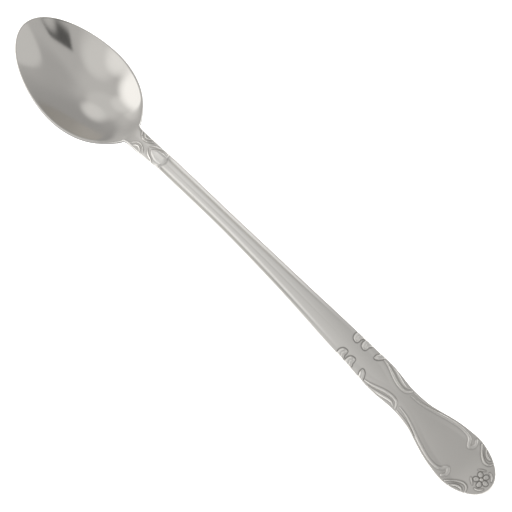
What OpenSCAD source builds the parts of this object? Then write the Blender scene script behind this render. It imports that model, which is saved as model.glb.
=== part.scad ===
// Iced tea spoon, struck from one strip of stainless steel.
// The blank is split where a die maker would name its zones: bowl, neck, stem and handle.
// They meet face to face. The raised ornament stands on them as solids of its own.
// x runs from the bowl's tip to the handle's end, y across, and z = 0 is the table it lies on.

/* [Bowl] */
// Length of the bowl, from its tip to the heel where the neck begins
bowl_length = 44.2; // [40:0.2:52]
// Width of the bowl at its widest
bowl_width = 28; // [24:0.1:33]
// Depth of the hollow below the rim
bowl_depth = 6.8; // [5.5:0.1:8]
// Thickness of the steel at the bottom of the bowl
bowl_wall = 1.2; // [0.8:0.05:1.5]
// Thickness of the steel at the rim
rim_thickness = 1.1; // [0.8:0.05:1.5]
// Width of the ground edge of the rim beside the tip
tip_land = 0.35; // [0.3:0.05:0.8]
// Width of the ground edge of the rim beside the heel
heel_land = 0.6; // [0.4:0.05:1]
// Height of the rim's tip above the rim's lowest point
tip_rise = 4.8; // [2:0.1:6]

/* [Neck] */
// Length of the ornamented neck
neck_length = 13.5; // [10:0.1:16]
// Width of the neck
neck_width = 6; // [5.2:0.1:7]
// Thickness of the neck
neck_thickness = 2.3; // [1.8:0.05:3]

/* [Stem] */
// Length of the fluted stem
stem_length = 69.4; // [50:0.2:90]
// Width of the stem at its narrowest
stem_width = 5.6; // [4.8:0.05:6.5]
// Thickness of the stem
stem_thickness = 2.2; // [1.8:0.05:2.8]
// Height of the stem's arch above the table
arch_height = 12.4; // [11:0.1:16]
// Width of the bead along each edge of the stem
edge_bead = 1.15; // [0.9:0.05:1.6]
// Depth of the flutes between the beads and the rib
flute_depth = 0.4; // [0.2:0.05:0.6]

/* [Handle] */
// Length of the handle, from the end of the flutes to the end of the spoon
handle_length = 61; // [54:0.2:72]
// Width of the handle where it meets the stem
handle_root_width = 8.4; // [7.6:0.1:9]
// Width of the handle at its shoulder
shoulder_width = 9.7; // [9.2:0.1:11]
// Width of the handle at its waist
waist_width = 8.2; // [7.6:0.1:9]
// Width of the handle at its widest
blade_width = 16.2; // [14:0.2:19]
// Thickness of the handle's blade
blade_thickness = 1.6; // [1.3:0.05:2.2]
// Depth of the handle's smooth field below its raised borders
field_depth = 0.28; // [0.15:0.01:0.4]
// Length of the flat at the end that lies on the table
rest_length = 8; // [6:0.5:11]

/* [Ornament] */
// Height of the raised scrolls
scroll_height = 0.42; // [0.25:0.01:0.6]
// Width of the raised scrolls
scroll_width = 1.05; // [0.8:0.05:1.2]
// Width of the fine scrolls on the neck
fine_width = 0.6; // [0.4:0.02:0.7]
// Width across the petals of the flower
flower_width = 4.6; // [3.6:0.1:5]
// Number of petals
petal_count = 5; // [4:1:7]

/* [Hidden] */

// Places along the spoon, from the bowl's tip
widest_share = 0.554;
bowl_middle = bowl_length * widest_share;
heel = bowl_length;
throat = rim_thickness * 1.5;
cut = heel + throat;
stem_start = heel + neck_length;
handle_start = stem_start + stem_length;
total_length = handle_start + handle_length;
shoulder_at = handle_start + handle_length * 0.285;
waist_at = handle_start + handle_length * 0.437;
flare_at = handle_start + handle_length * 0.6;
blade_at = handle_start + handle_length * 0.803;

// Shapes of the outline's round ends
tip_reach_power = 1.85;
tip_power = 0.5;
heel_reach_power = 2.05;
heel_power = 0.5;
end_reach_power = 1.75;
end_power = 0.5;
// How round the bowl is: 1 is a parabola, and more has a straighter wall up to the rim
bowl_round_share = 1.12;

// Heights of the face on the centre line
rim_height = bowl_depth + bowl_wall;
heel_rise_share = 0.1;
neck_rise_share = 0.66;
arch_at_share = 0.42;

// Edges
edge_drop = rim_thickness * 0.32;
under_round = stem_thickness * 0.26;
lip_softness = bowl_depth * 0.5;
heel_fillet = neck_width * 0.9;
edge_curve = 4;
// How much of the underside's width is flat
flat_share = 0.4;
// Directions from the bowl's middle between which the neck's thickness fades in
neck_zone_from = 34;
neck_zone_to = 6;
// Ornament stands this far off the face below it, and this far in from the outline
seat_gap = scroll_height * 0.06;
edge_margin = scroll_height * 0.3;
panel_width = neck_width * 0.56;
collar_width = fine_width * 0.92;
leaf_width = scroll_width * 2.4;
// The edge bead is at most this share of the half width, where the handle narrows to its round end
bead_limit_share = 0.45;

// The ornament's paths. Each place is a share of its zone's length and of the half width there.
inner_arc_shares = [[0.205, 0.85], [0.26, 0.62], [0.32, 0.54], [0.38, 0.64], [0.43, 0.85]];
outer_arc_shares = [
    [0.135, 0.82], [0.18, 0.55], [0.245, 0.33], [0.31, 0.26], [0.38, 0.3], [0.445, 0.48], [0.505, 0.8]];
flank_shares = [[0.525, 0.12], [0.585, 0.42], [0.65, 0.6], [0.715, 0.71], [0.785, 0.85]];
panel_shares = [0.59, 0.67, 0.76, 0.85, 0.93];
panel_width_shares = [0.04, 0.5, 0.85, 1, 0.9];
collar_at_share = 0.965;
collar_reach_share = 0.8;
first_leaf_shares = [[0.083, 0.93], [0.087, 0.7], [0.09, 0.5]];
second_leaf_shares = [[0.136, 0.93], [0.138, 0.7], [0.14, 0.5]];
third_leaf_shares = [[0.215, 0.93], [0.218, 0.72], [0.222, 0.5]];
waist_inner_shares = [
    [0.245, 0.84], [0.275, 0.76], [0.305, 0.65], [0.342, 0.5], [0.38, 0.41], [0.41, 0.44], [0.427, 0.6],
    [0.436, 0.84]];
waist_outer_shares = [[0.27, 0.94], [0.305, 0.88], [0.343, 0.8], [0.38, 0.71], [0.403, 0.7], [0.418, 0.82]];
border_inner_shares = [
    [0.45, 0.56], [0.49, 0.6], [0.53, 0.71], [0.57, 0.78], [0.606, 0.82], [0.644, 0.84], [0.682, 0.86],
    [0.715, 0.86], [0.75, 0.82], [0.771, 0.74], [0.784, 0.6], [0.794, 0.53], [0.805, 0.6], [0.809, 0.73],
    [0.798, 0.87]];
border_outer_shares = [[0.447, 0.86], [0.49, 0.88], [0.53, 0.92], [0.57, 0.95], [0.6, 0.97]];
crescent_outer_shares = [[0.825, 0.92], [0.859, 0.71], [0.891, 0.61], [0.915, 0.69], [0.926, 0.9]];
crescent_inner_shares = [[0.852, 0.95], [0.876, 0.83], [0.898, 0.83], [0.911, 0.92]];
// Where a petal starts, swells and ends, as shares of the flower's width from its middle
petal_reach_shares = [0.17, 0.32, 0.5];
// The leaves about the flower, as shares of its width from its middle
outer_leaf_shares = [[0.07, 0.67], [0.28, 0.59], [0.5, 0.35]];
inner_leaf_shares = [[-0.57, 0.33], [-0.39, 0.46], [-0.2, 0.59]];
flower_at_share = 0.942;
// How each kind of bead swells along its length
strand_width_shares = [0.3, 0.8, 1, 0.8, 0.3];
arch_width_shares = [0.45, 0.85, 1, 0.85, 0.45];
crook_width_shares = [0.3, 0.8, 0.85, 0.8, 1, 1.1, 0.7];
round_width_shares = [0.35, 0.85, 1, 0.85, 0.35];
leaf_width_shares = [0.9, 1, 0.95, 0.6];
petal_width_shares = [0.45, 0.95, 1, 0.6];
level_width_shares = [0.8, 1, 1, 0.8];
// Places across a bead and their heights, as shares of its half width and its height
bead_shares = [[-1, 0], [-0.6, 0.75], [0, 1], [0.6, 0.75], [1, 0]];
path_steps = 4;

// Where each cross-section's points lie between the centre and the flute, as shares
rib_shares = [0, 0.42, 0.75];
// Rings of the bowl between its middle and the inner edge of the rim, as shares
ring_shares = [0.15, 0.29, 0.43, 0.56, 0.68, 0.78, 0.87, 0.94, 1];
tip_steps = 14;
heel_steps = 13;
neck_steps = 10;
stem_steps = 24;
handle_steps = 40;

function clamp(v, low, high) = min(max(v, low), high);
function mix(a, b, t) = a + (b - a) * t;
function smooth(from, to, v) = let (t = clamp((v - from) / (to - from), 0, 1)) t * t * (3 - 2 * t);
// The larger of two values, with a soft corner of the given size
function soft_max(a, b, size) =
    let (s = max(size, 0.000001), t = clamp(0.5 + 0.5 * (a - b) / s, 0, 1))
    mix(b, a, t) + s * t * (1 - t);

// A smooth curve through [place, value] pairs that never overshoots them
function slope(k, i) = (k[i + 1][1] - k[i][1]) / (k[i + 1][0] - k[i][0]);
function tangent(k, i) =
    i == 0 || i == len(k) - 1 ? 0 :
    let (a = slope(k, i - 1), b = slope(k, i)) a * b <= 0 ? 0 : 2 * a * b / (a + b);
function segment(k, x, i = 0) = i >= len(k) - 2 || x < k[i + 1][0] ? i : segment(k, x, i + 1);
function curve(k, x) =
    x <= k[0][0] ? k[0][1] : x >= k[len(k) - 1][0] ? k[len(k) - 1][1] :
    let (i = segment(k, x), w = k[i + 1][0] - k[i][0], t = (x - k[i][0]) / w)
    k[i][1] * (1 + 2 * t) * (1 - t) * (1 - t) + tangent(k, i) * w * t * (1 - t) * (1 - t)
    + k[i + 1][1] * t * t * (3 - 2 * t) + tangent(k, i + 1) * w * t * t * (t - 1);

width_knots = [
    [heel, neck_width / 2],
    [stem_start, stem_width / 2],
    [stem_start + stem_length * 0.3, stem_width / 2],
    [stem_start + stem_length * 0.65, mix(stem_width, handle_root_width, 0.35) / 2],
    [handle_start, handle_root_width / 2],
    [mix(handle_start, shoulder_at, 0.62), mix(handle_root_width, shoulder_width, 0.55) / 2],
    [shoulder_at, shoulder_width / 2],
    [waist_at, waist_width / 2],
    [mix(waist_at, flare_at, 0.54), mix(waist_width, blade_width, 0.11) / 2],
    [flare_at, mix(waist_width, blade_width, 0.42) / 2],
    [mix(flare_at, blade_at, 0.28), mix(waist_width, blade_width, 0.68) / 2],
    [mix(flare_at, blade_at, 0.56), mix(waist_width, blade_width, 0.86) / 2],
    [blade_at, blade_width / 2]];

height_knots = [
    [bowl_middle, rim_height],
    [heel, mix(rim_height, arch_height, heel_rise_share)],
    [stem_start, mix(rim_height, arch_height, neck_rise_share)],
    [stem_start + stem_length * arch_at_share, arch_height],
    [handle_start, arch_height * 0.81],
    [shoulder_at, arch_height * 0.63],
    [waist_at, arch_height * 0.535],
    [flare_at, arch_height * 0.36],
    [blade_at, mix(blade_thickness, arch_height, 0.06)],
    [total_length - rest_length, blade_thickness],
    [total_length, blade_thickness]];

thickness_knots = [
    [heel, neck_thickness],
    [stem_start, stem_thickness],
    [mix(stem_start, handle_start, 0.6), stem_thickness],
    [waist_at, mix(stem_thickness, blade_thickness, 0.8)],
    [blade_at, blade_thickness],
    [total_length, blade_thickness]];

// Half the width of the egg that the bowl's rim follows
function egg_half(x) =
    x <= bowl_middle
    ? bowl_width / 2 * pow(max(0, 1 - pow((bowl_middle - x) / bowl_middle, tip_reach_power)), tip_power)
    : bowl_width / 2
      * pow(max(0, 1 - pow((x - bowl_middle) / (heel - bowl_middle), heel_reach_power)), heel_power);

// Half the width of the spoon at any place
function half_width(x) =
    x <= bowl_middle ? egg_half(x) :
    x <= heel ? soft_max(egg_half(x), neck_width / 2, heel_fillet * smooth(bowl_middle, heel, x)) :
    x <= blade_at ? soft_max(0, curve(width_knots, x), heel_fillet * smooth(cut, heel, x))
    : blade_width / 2 * pow(max(0, 1 - pow((x - blade_at) / (total_length - blade_at), end_reach_power)),
                            end_power);

// Height of the face on the centre line
function face_height(x) =
    x < bowl_middle ? rim_height + tip_rise * pow((bowl_middle - x) / bowl_middle, 2)
    : curve(height_knots, x);

// 1 in the direction of the neck, seen from the bowl's middle, and 0 elsewhere
function neck_zone(x, y) =
    x <= bowl_middle ? 0 : smooth(neck_zone_from, neck_zone_to, atan2(abs(y), x - bowl_middle));

// How far out a place is on the heel's side: 1 is the inner edge of the rim, or the outer edge with no land
function heel_radius(x, y, land) =
    norm([(x - bowl_middle) / (heel - bowl_middle - land), y / (bowl_width / 2 - land)]);

function land_at(x) = mix(tip_land, heel_land, clamp(x / heel, 0, 1));

// How much of the flutes is cut at a place along the stem
function flute_share(x) =
    smooth(stem_start - edge_bead / 2, stem_start + edge_bead, x)
    * (1 - smooth(mix(stem_start, handle_start, 0.7), handle_start, x));

// Where a cross-section's flute or the foot of its edge lies
function flute_at(w) = w - min(edge_bead, w * bead_limit_share);

// How much of the handle's field is sunk at a place along it
function field_share(x) =
    smooth(handle_start - rest_length, handle_start + rest_length, x)
    * (1 - smooth(total_length - rest_length * 1.4, total_length - rest_length * 0.4, x));

// How far the face lies below the height of its centre line, across the neck, stem and handle
function face_drop(x, y) =
    let (w = half_width(x), flute = flute_at(w), side = abs(y),
         field = clamp((1 - side / flute) / (1 - rib_shares[1]), 0, 1),
         plain = edge_drop * pow(side / w, edge_curve) * smooth(heel - heel_fillet, cut, x)
                 + field_depth * field * field_share(x),
         rib = flute_depth * (side <= flute
               ? pow(side / flute, edge_curve / 2)
               : 1 - 0.8 * sin(180 * clamp((side - flute) / edge_bead / 1.3, 0, 1))))
    w <= 0 ? 0 : plain + rib * flute_share(x);

// How far the bowl's floor has risen at a share of the way out to the rim
function fullness(r) = mix(pow(r, 4), pow(r, 2), bowl_round_share);

// Height of the upper and lower face at a place. radius is how far out it is on the bowl's tip side.
function top_z(x, y, radius = 0) =
    let (r = x < bowl_middle ? radius : heel_radius(x, y, land_at(x)))
    face_height(x) - face_drop(x, y)
    - (x > stem_start ? 0 :
       soft_max(bowl_depth * (1 - fullness(r)), 0, lip_softness * neck_zone(x, y)));

function bottom_z(x, y, radius = 0) =
    let (r = x < bowl_middle ? radius : heel_radius(x, y, 0),
         w = half_width(x),
         round = w <= 0 ? 0 : under_round * pow(max(0, abs(y) / w - flat_share) / (1 - flat_share), 2),
         shell = rim_thickness + (bowl_depth + bowl_wall - rim_thickness) * (1 - fullness(r)),
         zone = neck_zone(x, y),
         plate = rim_thickness + (curve(thickness_knots, x) - rim_thickness - round) * zone)
    face_height(x) - (x > stem_start ? plate : soft_max(shell, plate, lip_softness * zone));

// The y places of a cross-section's points, from the centre to one edge and then on both sides
function half_places(x) =
    let (w = half_width(x), flute = flute_at(w), bead = w - flute)
    [for (s = rib_shares) s * flute, flute, w - bead * 0.5, w - bead * 0.15, w];
function places(x) =
    let (h = half_places(x), n = len(h))
    [for (i = [1:n - 1]) -h[n - i], for (p = h) p];

// A closed strip between two rows of cross-sections, each a list of places
module strip(stations) {
    n = len(places(stations[0]));
    rings = [for (x = stations) let (p = places(x)) concat(
        [for (y = p) [x, y, top_z(x, y)]],
        [for (i = [1:n]) [x, p[n - i], bottom_z(x, p[n - i])]])];
    skin(rings);
}

// Joins rings of equal length into one closed solid with a flat cap at each end
module skin(rings) {
    m = len(rings[0]);
    last = len(rings) - 1;
    points = [for (r = rings) for (p = r) p - [total_length / 2, 0, 0]];
    sides = [for (i = [0:last - 1]) for (j = [0:m - 1]) let (k = (j + 1) % m)
        each [[i * m + j, i * m + k, (i + 1) * m + k], [i * m + j, (i + 1) * m + k, (i + 1) * m + j]]];
    caps = concat(cap(0, m), [for (f = cap(last * m, m)) [f[2], f[1], f[0]]]);
    polyhedron(points, concat(sides, caps), convexity = 10);
}

// A ring's flat cap, as triangles between its upper and its lower row of points
function cap(first, m) =
    [for (j = [0:m / 2 - 2]) let (a = first + j, b = first + m - 1 - j)
        each [[a, b, b - 1], [a, b - 1, a + 1]]];

// The bowl
function tip_places() = [for (i = [0:tip_steps]) bowl_middle * (1 - cos(90 * i / tip_steps))];
function heel_places() =
    concat([for (i = [1:heel_steps]) bowl_middle + (heel - bowl_middle) * sin(90 * i / heel_steps)],
           [mix(heel, cut, 0.5), cut]);
// The bowl's edge as seen from above, once round: out along +y, across the cut and back along -y
function bowl_edge() =
    let (side = concat(tip_places(), heel_places()), n = len(side), across = places(cut), m = len(across))
    concat([for (x = side) [x, half_width(x)]],
           [for (i = [1:m - 2]) [cut, across[m - 1 - i]]],
           [for (i = [1:n - 1]) [side[n - i], -half_width(side[n - i])]]);

module bowl() {
    centre = [bowl_middle, 0];
    edge = bowl_edge();
    n = len(edge);
    rings = len(ring_shares);
    // Places of ring i, where the last ring is the edge itself
    function ring_place(i, j) =
        let (reach = norm(edge[j] - centre), land = min(land_at(edge[j][0]), reach))
        centre + (edge[j] - centre) * (i < rings ? ring_shares[i] * (1 - land / reach) : 1);
    upper = [for (i = [0:rings]) for (j = [0:n - 1])
        let (p = ring_place(i, j), x = p[0], y = p[1], outer = i == rings && edge[j][0] < cut,
             rim = i < rings ? ring_shares[i] : 1)
        [x, y, outer && x < heel ? face_height(x) - edge_drop : top_z(x, y, rim)]];
    lower = [for (i = [0:rings]) for (j = [0:n - 1])
        let (p = ring_place(i, j), reach = norm(edge[j] - centre))
        [p[0], p[1], bottom_z(p[0], p[1], norm(p - centre) / reach)]];
    middles = [[centre[0], 0, rim_height - bowl_depth], [centre[0], 0, 0]];
    all = concat(upper, lower, middles);
    size = (rings + 1) * n;
    top_middle = 2 * size;
    fan = [for (j = [0:n - 1]) let (k = (j + 1) % n)
        each [[top_middle, j, k], [top_middle + 1, size + k, size + j]]];
    bands = [for (i = [0:rings - 1]) for (j = [0:n - 1])
        let (k = (j + 1) % n, a = i * n + j, b = i * n + k, c = a + n, d = b + n)
        each [[a, c, d], [a, d, b], [size + a, size + d, size + c], [size + a, size + b, size + d]]];
    rim_wall = [for (j = [0:n - 1]) let (k = (j + 1) % n, a = rings * n + j, b = rings * n + k)
        each [[a, size + a, size + b], [a, size + b, b]]];
    color("silver")
        polyhedron([for (p = all) p - [total_length / 2, 0, 0]], concat(fan, bands, rim_wall),
                   convexity = 10);
}

function stations(from, to, count) = [for (i = [0:count]) mix(from, to, i / count)];

module neck() { color("silver") strip(stations(cut, stem_start, neck_steps)); }
module stem() { color("silver") strip(stations(stem_start, handle_start, stem_steps)); }
// The handle's stations crowd towards its round end
module handle() {
    body = stations(handle_start, blade_at, handle_steps * 0.7);
    round_end = [for (i = [1:handle_steps * 0.3])
        blade_at + (total_length - blade_at) * 0.999 * sin(90 * i / (handle_steps * 0.3))];
    color("silver") strip(concat(body, round_end));
}

// A smooth path through control points, with steps of its own between each pair
function path_point(k, i, t) =
    let (a = k[max(i - 1, 0)], b = k[i], c = k[i + 1], d = k[min(i + 2, len(k) - 1)])
    b + t * (c - a) / 2 + t * t * (a - 2.5 * b + 2 * c - d / 2) + t * t * t * (1.5 * (b - c) + (d - a) / 2);
function smooth_path(k) = [
    for (i = [0:len(k) - 2]) for (j = [0:path_steps - 1]) path_point(k, i, j / path_steps),
    k[len(k) - 1]];

// A raised bead that lies on the face along a path. Widths are shares of the bead's full width,
// spread evenly along the path, and the bead's height follows them.
module bead(controls, width, height, width_shares) {
    path = smooth_path(controls);
    last = len(path) - 1;
    share_knots = [for (i = [0:len(width_shares) - 1]) [i / (len(width_shares) - 1), width_shares[i]]];
    rings = [for (i = [0:last])
        let (ahead = path[min(i + 1, last)] - path[max(i - 1, 0)],
             across = [-ahead[1], ahead[0]] / norm(ahead),
             share = curve(share_knots, i / last),
             tall = height * min(1, 0.3 + share * 0.8))
        concat([for (s = bead_shares) let (q = inside(path[i] + across * s[0] * share * width / 2))
                    [q[0], q[1], top_z(q[0], q[1]) + seat_gap + s[1] * tall]],
               [let (q = inside(path[i])) [q[0], q[1], top_z(q[0], q[1]) + seat_gap]])];
    points = [for (r = rings) for (p = r) p - [total_length / 2, 0, 0]];
    m = len(rings[0]);
    sides = [for (i = [0:last - 1]) for (j = [0:m - 1]) let (k = (j + 1) % m, a = i * m, b = a + m)
        each [[a + j, a + k, b + k], [a + j, b + k, b + j]]];
    caps = [for (j = [0:m - 3]) each [[m - 1, j + 1, j],
                                      [last * m + m - 1, last * m + j, last * m + j + 1]]];
    polyhedron(points, concat(sides, caps), convexity = 10);
}

// Keeps a place just inside the outline
function inside(p) = let (w = half_width(p[0]) - edge_margin) [p[0], clamp(p[1], -w, w)];

// The same bead on both sides, from places given as shares of a zone's length and of the half width there
module bead_pair(start, length, shares, width, height, width_shares)
    for (side = [-1, 1])
        bead([for (s = shares) let (x = start + length * s[0]) [x, side * s[1] * half_width(x)]],
             width, height, width_shares);

// A pointed panel down the middle of the neck, and the collar across the stem's start
module neck_panel() {
    panel = [for (s = panel_shares) [heel + neck_length * s, 0]];
    collar_x = heel + neck_length * collar_at_share;
    reach = half_width(collar_x) * collar_reach_share;
    color("silver") {
        bead(panel, panel_width, scroll_height * 0.7, panel_width_shares);
        bead([for (s = [-1, 0, 1]) [collar_x, s * reach]], collar_width, scroll_height * 0.5,
             level_width_shares);
    }
}

module neck_scrolls()
    color("silver") for (s = [inner_arc_shares, outer_arc_shares, flank_shares])
        bead_pair(heel, neck_length, s, fine_width, scroll_height * 0.7, arch_width_shares);

// Two leaves side by side on each edge of the handle, and a smaller one behind them
module leaf_sprigs() {
    color("silver") {
        for (s = [first_leaf_shares, second_leaf_shares])
            bead_pair(handle_start, handle_length, s, leaf_width, scroll_height, leaf_width_shares);
        bead_pair(handle_start, handle_length, third_leaf_shares, leaf_width * 0.8, scroll_height,
                  leaf_width_shares);
    }
}

module waist_scrolls() {
    color("silver") {
        bead_pair(handle_start, handle_length, waist_inner_shares, scroll_width, scroll_height,
                  strand_width_shares);
        bead_pair(handle_start, handle_length, waist_outer_shares, scroll_width * 0.8, scroll_height,
                  strand_width_shares);
    }
}

module border_scrolls() {
    color("silver") {
        bead_pair(handle_start, handle_length, border_outer_shares, scroll_width * 0.8, scroll_height,
                  strand_width_shares);
        bead_pair(handle_start, handle_length, border_inner_shares, scroll_width, scroll_height,
                  crook_width_shares);
    }
}

module tip_scrolls() {
    color("silver") {
        bead_pair(handle_start, handle_length, crescent_outer_shares, scroll_width * 0.75, scroll_height,
                  arch_width_shares);
        bead_pair(handle_start, handle_length, crescent_inner_shares, scroll_width, scroll_height,
                  strand_width_shares);
    }
}

// A round button, petals about it and slim leaves around them
module flower() {
    middle = [handle_start + handle_length * flower_at_share, 0];
    button = flower_width * 0.12;
    petal_width = flower_width * 0.31;
    color("silver") {
        bead([middle - [button, 0], middle, middle + [button, 0]], button * 2,
             scroll_height * 1.2, round_width_shares);
        for (i = [0:petal_count - 1]) {
            out = [cos(360 * i / petal_count), sin(360 * i / petal_count)];
            bead([for (s = petal_reach_shares) middle + out * s * flower_width],
                 petal_width, scroll_height, petal_width_shares);
        }
        for (leaf = [outer_leaf_shares, inner_leaf_shares]) for (side = [-1, 1])
            bead([for (s = leaf) middle + [s[0], side * s[1]] * flower_width],
                 petal_width * 0.4, scroll_height * 0.7, arch_width_shares);
    }
}

bowl();
neck();
stem();
handle();
neck_panel();
neck_scrolls();
leaf_sprigs();
waist_scrolls();
border_scrolls();
tip_scrolls();
flower();
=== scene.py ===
"""An iced tea spoon struck from polished stainless steel, lying face up on a white table.

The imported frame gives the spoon's lengths, widths and heights. One fine mesh stands for the whole
struck piece: its face and underside are height fields over the spoon's outline, joined by a rounded edge.
The ornament is relief in the face, drawn as strokes along smooth paths. Lengths here are millimetres,
and MM turns them into the frame's metres. Named angles are degrees, unless a comment says otherwise.
X runs from the bowl's tip to the handle's end, and the two sides of the centre line are alike.
"""
import math

import bmesh
import bpy
import numpy as np
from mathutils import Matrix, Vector


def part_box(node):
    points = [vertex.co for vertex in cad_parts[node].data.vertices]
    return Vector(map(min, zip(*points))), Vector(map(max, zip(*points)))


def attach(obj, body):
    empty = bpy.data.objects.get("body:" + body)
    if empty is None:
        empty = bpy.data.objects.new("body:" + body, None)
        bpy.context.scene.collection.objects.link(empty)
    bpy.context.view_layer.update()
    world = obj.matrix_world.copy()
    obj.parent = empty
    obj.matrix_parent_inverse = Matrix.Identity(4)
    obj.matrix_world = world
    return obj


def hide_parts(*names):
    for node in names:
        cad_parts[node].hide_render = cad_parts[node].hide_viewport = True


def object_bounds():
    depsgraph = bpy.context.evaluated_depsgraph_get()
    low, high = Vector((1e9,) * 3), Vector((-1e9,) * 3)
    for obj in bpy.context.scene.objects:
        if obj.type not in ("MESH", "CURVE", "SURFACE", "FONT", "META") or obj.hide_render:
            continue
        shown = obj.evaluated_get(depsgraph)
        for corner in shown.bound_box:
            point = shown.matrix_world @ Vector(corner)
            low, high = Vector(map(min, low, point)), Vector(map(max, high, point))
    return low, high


MM = 0.001

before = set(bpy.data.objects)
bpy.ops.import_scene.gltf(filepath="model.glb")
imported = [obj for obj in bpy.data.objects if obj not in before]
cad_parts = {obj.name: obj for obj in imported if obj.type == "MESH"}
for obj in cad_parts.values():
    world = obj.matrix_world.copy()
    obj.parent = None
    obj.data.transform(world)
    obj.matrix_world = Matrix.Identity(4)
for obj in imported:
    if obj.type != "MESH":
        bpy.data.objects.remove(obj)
cad_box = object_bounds()


def extent(node):
    """A node's lowest and highest corner, in millimetres."""
    low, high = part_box(node)
    return np.array(low) / MM, np.array(high) / MM


# Places and sizes that the frame holds
bowl_low, bowl_high = extent("bowl")
neck_low, neck_high = extent("neck")
stem_low, stem_high = extent("stem")
handle_low, handle_high = extent("handle")
TIP_X = bowl_low[0]
CUT_X = bowl_high[0]
STEM_X = stem_low[0]
HANDLE_X = handle_low[0]
END_X = handle_high[0]
BOWL_WIDTH = bowl_high[1] - bowl_low[1]
NECK_WIDTH = neck_high[1] - neck_low[1]
HANDLE_ROOT_WIDTH = stem_high[1] - stem_low[1]
BLADE_WIDTH = handle_high[1] - handle_low[1]
ARCH_HEIGHT = stem_high[2]

# Bowl. It is an egg, widest at MIDDLE_X, that ends at the heel. A short throat joins it to the neck.
THROAT = 1.65
HEEL_X = CUT_X - THROAT
BOWL_LENGTH = HEEL_X - TIP_X
MIDDLE_X = TIP_X + BOWL_LENGTH * 0.554
BOWL_DEPTH = 6.8
BOWL_WALL = 1.2
RIM_THICKNESS = 1.1
RIM_HEIGHT = BOWL_DEPTH + BOWL_WALL
TIP_RISE = 4.8
# Width of the flat rim at the two ends
TIP_LAND, HEEL_LAND = 0.35, 0.6
# How much of the hollow's rise goes with the square of its reach. The rest goes with the fourth power.
SQUARE_SHARE = 1.12
# How softly the hollow ends, where it runs out into the neck and elsewhere
LIP_SOFTNESS = BOWL_DEPTH * 0.5
RIM_SOFTNESS = 0.15
# Angles off the centre line, seen from the bowl's middle, between which the bowl turns into the neck
NECK_FAN = (34, 6)
# Roundness of the egg's two halves and of the handle's end: 2 is an ellipse, and less is more pointed
TIP_ROUNDNESS, HEEL_ROUNDNESS, END_ROUNDNESS = 1.85, 2.05, 1.75
# Samples along each half of the egg, then the even step of angle between its reaches and their softening
EGG_SAMPLES, EGG_STEP, EGG_SOFTNESS = 600, 0.25, 2.5

# Neck, stem and handle
NECK_THICKNESS, STEM_THICKNESS, BLADE_THICKNESS = 2.3, 2.2, 1.6
STEM_WIDTH = 5.6
SHOULDER_WIDTH, WAIST_WIDTH = 9.7, 8.2
NECK_LENGTH = STEM_X - HEEL_X
STEM_LENGTH = HANDLE_X - STEM_X
HANDLE_LENGTH = END_X - HANDLE_X
SHOULDER_X = HANDLE_X + HANDLE_LENGTH * 0.285
WAIST_X = HANDLE_X + HANDLE_LENGTH * 0.437
FLARE_X = HANDLE_X + HANDLE_LENGTH * 0.6
BLADE_X = HANDLE_X + HANDLE_LENGTH * 0.803
# The flat under the handle's end, on which it rests
REST_LENGTH = 8.0
# The blade turns into the rounded end over this length to each side of BLADE_X
END_BLEND = 2.5
# The soft corner between the bowl and the neck. It fades by a share, so that the two meet in a plain joint.
HEEL_FILLET = NECK_WIDTH * 0.9
FILLET_FALL, FILLET_LOSS = (HEEL_X, CUT_X + 1), 0.999
# The curves along the spoon start level. Each is softened over a length, on steps that suit all three.
WIDTH_LEAD, HEIGHT_LEAD, THICKNESS_LEAD = 3.0, 10.0, 4.0
WIDTH_SOFTNESS, HEIGHT_SOFTNESS, THICKNESS_SOFTNESS = 0.7, 2.0, 2.0
CURVE_STEP = 0.1

# Face. A rise or a fall is a pair of places between which a form fades in or out.
# The stem has a bead along each edge, a flute inside each bead, and a rib between them with a shallow groove.
EDGE_BEAD = 1.15
FLUTE_DEPTH, FLUTE_HALF = 0.4, 0.42
RIB_FALL, BEAD_FALL = 0.12, 0.22
RIB_GROOVE_DEPTH, RIB_GROOVE_HALF = 0.08, 0.34
FLUTE_RISE = (STEM_X - EDGE_BEAD * 0.5, STEM_X + EDGE_BEAD)
FLUTE_FALL = (STEM_X + STEM_LENGTH * 0.6, HANDLE_X + 8)
# The handle's smooth field is sunk between its borders, and less so round the waist.
FIELD_DEPTH, FIELD_SLOPE, FIELD_LIP = 0.28, 1.5, 0.2
FIELD_RISE, FIELD_FALL = (HANDLE_X - 12, HANDLE_X + 8), (END_X - 11, END_X - 3)
WAIST_FILL, WAIST_REACH = 0.8, 12.0
# Half the width of that field along the handle, as shares of the half width there
FIELD_SHARES = (
    (-0.2, 1.2), (0, 1.1), (0.142, 0.85), (0.2, 0.75), (0.245, 0.68), (0.305, 0.5), (0.342, 0.36),
    (0.38, 0.27), (0.41, 0.28), (0.45, 0.38), (0.49, 0.44), (0.53, 0.56), (0.57, 0.65), (0.644, 0.74),
    (0.715, 0.78), (0.813, 0.82), (1, 1.05))
# How far the face falls from the centre line to the edges. On the handle, that starts where the flutes fade.
NECK_CROWN, HANDLE_CROWN, BLADE_CROWN = 1.1, 1.0, 0.5
NECK_CROWN_RISE, NECK_CROWN_FALL = (HEEL_X - 1, CUT_X + 2), (STEM_X - 2, STEM_X + 1)

# Underside and edge. The underside is flat in the middle and rounded beyond a share of the half width.
UNDER_ROUND, UNDER_FLAT_SHARE = STEM_THICKNESS * 0.26, 0.4
# Width of the edge's rounding in plan. It falls from the face by a share of the thickness, or by EDGE_FALL
# if that is less, and it rises from the underside by a smaller share.
EDGE_ROUND = 0.42
EDGE_FALL, EDGE_FALL_SHARE, EDGE_RISE_SHARE = 1.1, 0.5, 0.2

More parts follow.
